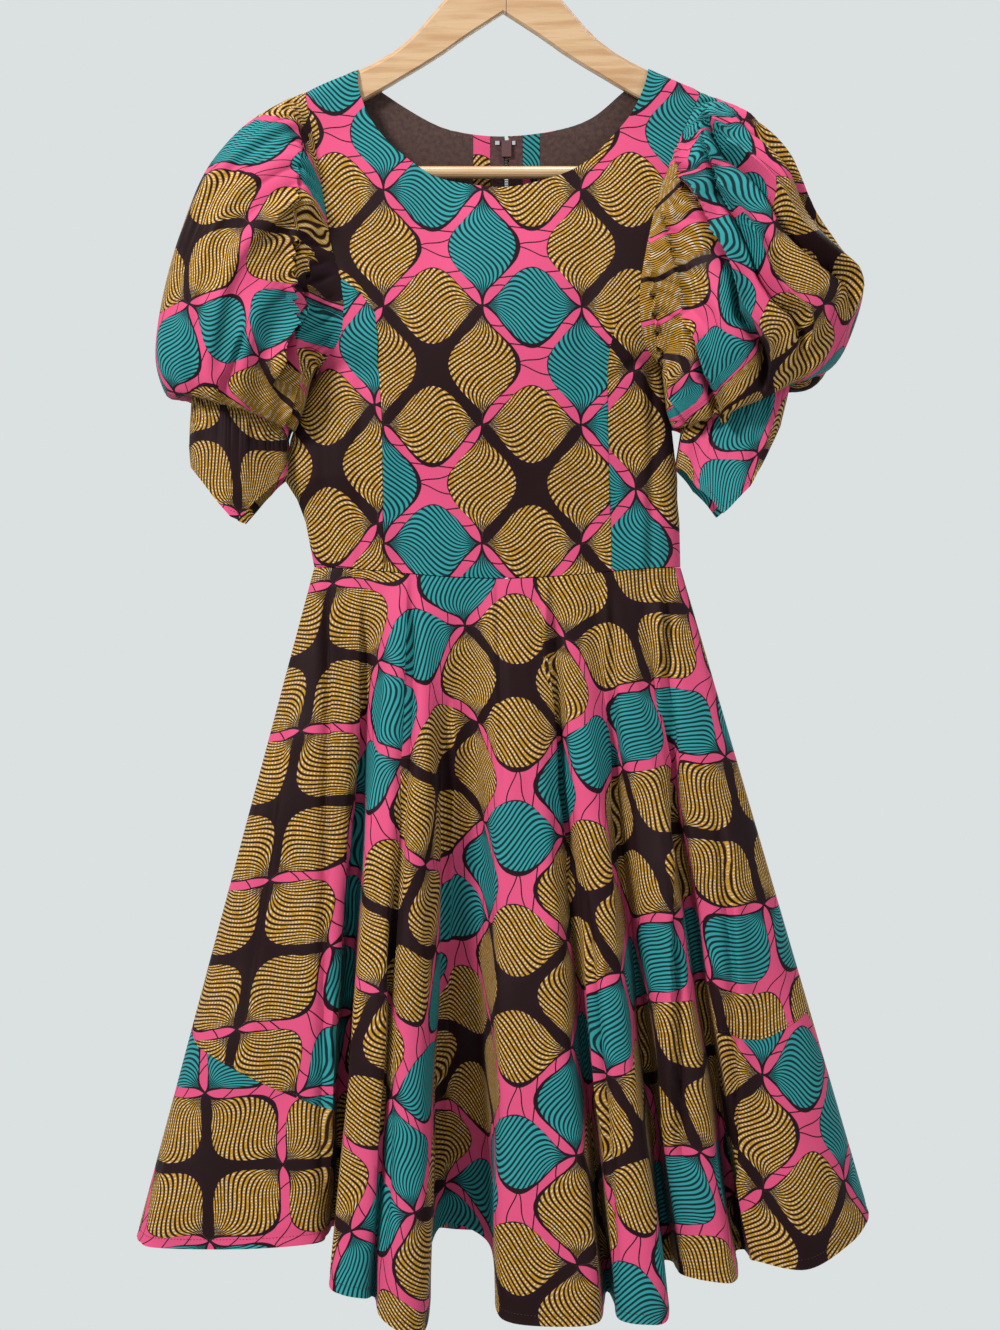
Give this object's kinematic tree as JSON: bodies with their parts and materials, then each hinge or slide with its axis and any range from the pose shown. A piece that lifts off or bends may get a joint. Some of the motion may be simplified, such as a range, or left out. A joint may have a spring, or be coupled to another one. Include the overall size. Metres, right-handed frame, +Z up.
{
  "type": "wax print dress on hanger",
  "caption": "Fit-and-flare wax print dress with puff sleeves, V neck and circle skirt, hung on a wooden hanger.",
  "frame": {"origin": "top of the inside of the hanger's hook, where a rail's top touches it", "axes": "+Z up along the hanging dress, +Y from the front to the back, +X to the right seen from the front"},
  "size_m": [0.681, 0.198, 1.3101],
  "materials": {
    "print_cloth": "printed cotton",
    "lining": "plain weave",
    "tape": "woven tape",
    "zip_metal": "painted",
    "wood": "clear satin varnish",
    "steel": "polished"
  },
  "bodies": {
    "root": {"front_center_panel": "print_cloth", "front_side_panel_left": "print_cloth", "front_side_panel_right": "print_cloth", "back_bodice_left": "print_cloth", "back_bodice_right": "print_cloth", "sleeve_left": "print_cloth", "sleeve_right": "print_cloth", "front_skirt": "print_cloth", "back_skirt_left": "print_cloth", "back_skirt_right": "print_cloth", "front_skirt_corner_left": "print_cloth", "front_skirt_corner_right": "print_cloth", "back_skirt_corner_left": "print_cloth", "back_skirt_corner_right": "print_cloth", "back_lining_left": "lining", "back_lining_right": "lining", "zip_allowance_left": "print_cloth", "zip_allowance_right": "print_cloth", "zip_tape_left": "tape", "zip_tape_right": "tape", "zip_chain": "zip_metal", "zip_slider": "zip_metal", "neck_hook": "steel", "neck_eye": "steel", "hanger_body": "wood", "hanger_bar": "wood", "hanger_hook": "steel"},
    "pull_tab": {"zip_pull_tab": "zip_metal"}
  },
  "joints": [
    {"name": "pull_tab_hinge", "type": "hinge", "parent": "root", "child": "pull_tab", "pos_m": [0.003, 0.01761, -0.22365], "axis": [1, 0, 0], "range_deg": [0, 150]}
  ]
}
